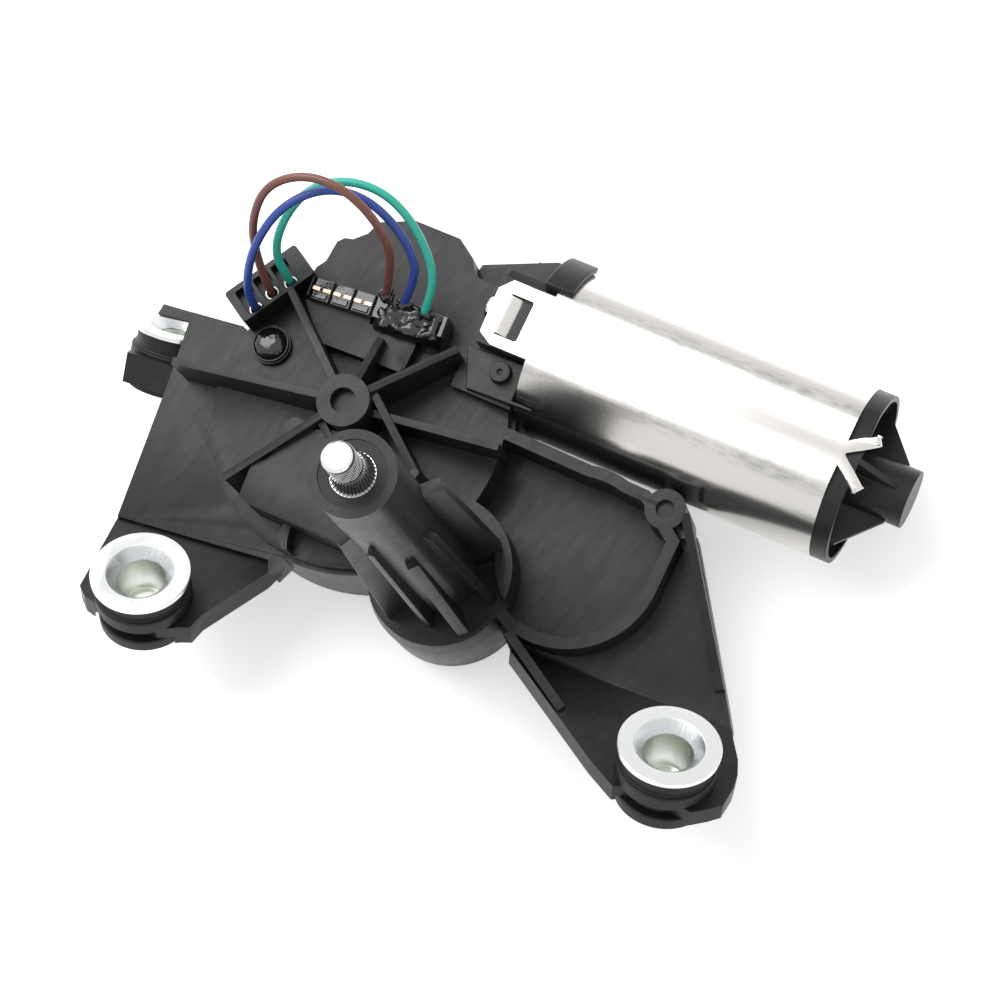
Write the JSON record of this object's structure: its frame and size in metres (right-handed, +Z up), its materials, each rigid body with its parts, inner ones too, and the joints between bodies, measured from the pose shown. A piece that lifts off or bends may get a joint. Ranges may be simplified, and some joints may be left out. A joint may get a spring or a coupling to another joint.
{
  "type": "rear window wiper motor",
  "caption": "Wiper motor with worm gearbox, crank linkage and a tall output tower, three rubber-mounted ears, a flat-sided motor can and a wired connector block.",
  "frame": {"origin": "on the output shaft's axis where the wiper arm seats, at the top of the knurled cone and the start of the thread", "axes": "+Z up the output shaft, out of the tower; +X along the motor can, towards its end cap; +Y from the tower towards the can's side"},
  "size_m": [0.2174, 0.1438, 0.1469],
  "materials": {
    "black_nylon": "glass-filled nylon, matte, moulded",
    "can_steel": "plated deep-drawn steel, satin",
    "zinc_steel": "bright zinc plate",
    "bare_steel": "machined steel, lightly oiled",
    "black_rubber": "moulded rubber, smooth",
    "sealant": "glossy black sealant",
    "copper": "bare copper",
    "bush_bronze": "sintered bronze",
    "wheel_acetal": "natural acetal",
    "ferrite": "ground ferrite",
    "carbon": "pressed carbon",
    "wire_brown": "soft PVC insulation, brown",
    "wire_blue": "soft PVC insulation, blue",
    "wire_green": "soft PVC insulation, green"
  },
  "bodies": {
    "housing": {"gear_housing": "black_nylon", "bottom_cover": "black_nylon", "cover_screws": "zinc_steel", "motor_can": "can_steel", "end_cap": "black_nylon", "motor_collar": "black_nylon", "clamp_plate": "black_nylon", "can_screw": "zinc_steel", "sealed_screw": "sealant", "connector_housing": "black_nylon", "connector_terminals": "zinc_steel", "wire_brown": "wire_brown", "wire_blue": "wire_blue", "wire_green": "wire_green", "terminal_strip": "black_nylon", "strip_terminals": "copper", "potting": "sealant", "grommet_left": "black_rubber", "grommet_right": "black_rubber", "grommet_upper": "black_rubber", "sleeve_left": "zinc_steel", "sleeve_right": "zinc_steel", "sleeve_upper": "zinc_steel", "wheel_axle": "bare_steel", "tower_bush_upper": "bush_bronze", "tower_bush_lower": "bush_bronze", "shaft_seal": "black_rubber", "park_contacts": "copper", "motor_magnets": "ferrite", "brush_holder": "black_nylon", "carbon_brushes": "carbon", "brush_springs": "bare_steel", "front_bearing": "bush_bronze", "rear_bearing": "bush_bronze"},
    "output": {"output_shaft": "bare_steel", "output_lever": "bare_steel", "lever_pin": "bare_steel", "shaft_circlip": "bare_steel"},
    "rod": {"link_rod": "bare_steel"},
    "wheel": {"worm_wheel": "wheel_acetal", "contact_disc": "copper", "crank_pin": "bare_steel"},
    "armature": {"armature_shaft": "bare_steel", "lamination_core": "bare_steel", "armature_windings": "copper", "commutator": "copper"}
  },
  "joints": [
    {"name": "armature_spin", "type": "hinge", "parent": "housing", "child": "armature", "pos_m": [0, 0.06722, -0.1115], "axis": [1, 0, 0], "continuous": true},
    {"name": "wheel_spin", "type": "hinge", "parent": "housing", "child": "wheel", "pos_m": [-0.0368, 0.0282, -0.1115], "axis": [0, 0, 1], "continuous": true},
    {"name": "output_swing", "type": "hinge", "parent": "housing", "child": "output", "pos_m": [0, 0, -0.118], "axis": [0, 0, 1], "range_deg": [-50, 50]},
    {"name": "rod_pivot", "type": "hinge", "parent": "output", "child": "rod", "pos_m": [-0.00608, -0.00794, -0.1215], "axis": [0, 0, 1], "range_deg": [-50, 50]}
  ],
  "couplings": [
    {"joint": "wheel_spin", "follows": "armature_spin", "ratio": 0.018519},
    {"joint": "rod_pivot", "follows": "output_swing", "ratio": -1}
  ]
}
